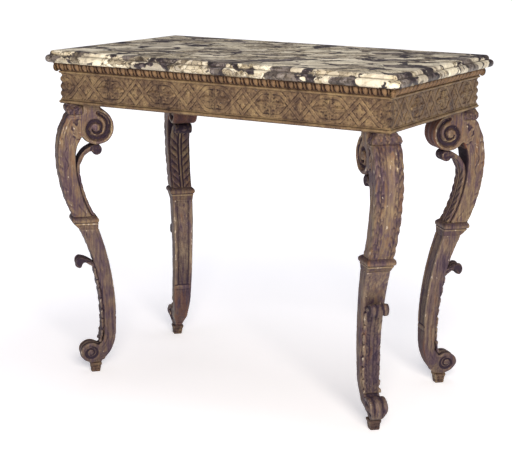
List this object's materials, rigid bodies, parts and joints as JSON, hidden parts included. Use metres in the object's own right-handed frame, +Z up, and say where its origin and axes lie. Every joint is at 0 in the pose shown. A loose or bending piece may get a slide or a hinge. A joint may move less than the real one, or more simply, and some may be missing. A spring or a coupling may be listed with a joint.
{
  "type": "centre table",
  "caption": "Centre table with a loose moulded marble slab on a carved giltwood frieze frame and diagonal S-scroll legs on small peg feet.",
  "frame": {"origin": "on the floor, under the middle of the table", "axes": "+X along the long side, -Y out of the front, +Z up"},
  "size_m": [0.9148, 0.5648, 0.8],
  "materials": {
    "marble": "polished cream breccia with grey and purple patches",
    "giltwood": "carved wood with worn gilding over red bole",
    "bare_wood": "rough sawn, ungilded, darkened with age",
    "iron": "dark iron"
  },
  "bodies": {
    "frame": {"back_egg_moulding": "giltwood", "back_lower_moulding": "giltwood", "back_rail": "giltwood", "bearer_left": "bare_wood", "bearer_right": "bare_wood", "collar_dowels": "bare_wood", "corner_block_back_left": "bare_wood", "corner_block_back_right": "bare_wood", "corner_block_front_left": "bare_wood", "corner_block_front_right": "bare_wood", "corner_screws": "iron", "foot_back_left": "giltwood", "foot_back_right": "giltwood", "foot_front_left": "giltwood", "foot_front_right": "giltwood", "front_egg_moulding": "giltwood", "front_lower_moulding": "giltwood", "front_rail": "giltwood", "inner_leaf_back_left": "giltwood", "inner_leaf_back_right": "giltwood", "inner_leaf_front_left": "giltwood", "inner_leaf_front_right": "giltwood", "left_egg_moulding": "giltwood", "left_lower_moulding": "giltwood", "left_rail": "giltwood", "leg_cap_back_left": "giltwood", "leg_cap_back_right": "giltwood", "leg_cap_front_left": "giltwood", "leg_cap_front_right": "giltwood", "leg_collar_back_left": "giltwood", "leg_collar_back_right": "giltwood", "leg_collar_front_left": "giltwood", "leg_collar_front_right": "giltwood", "leg_dowels": "bare_wood", "lower_leg_back_left": "giltwood", "lower_leg_back_right": "giltwood", "lower_leg_front_left": "giltwood", "lower_leg_front_right": "giltwood", "outer_leaf_back_left": "giltwood", "outer_leaf_back_right": "giltwood", "outer_leaf_front_left": "giltwood", "outer_leaf_front_right": "giltwood", "right_egg_moulding": "giltwood", "right_lower_moulding": "giltwood", "right_rail": "giltwood", "upper_leg_back_left": "giltwood", "upper_leg_back_right": "giltwood", "upper_leg_front_left": "giltwood", "upper_leg_front_right": "giltwood"},
    "slab": {"marble_top": "marble"}
  },
  "joints": [
    {"name": "top_lift", "type": "slide", "parent": "frame", "child": "slab", "axis": [0, 0, 1], "range_m": [0, 0.12]}
  ]
}
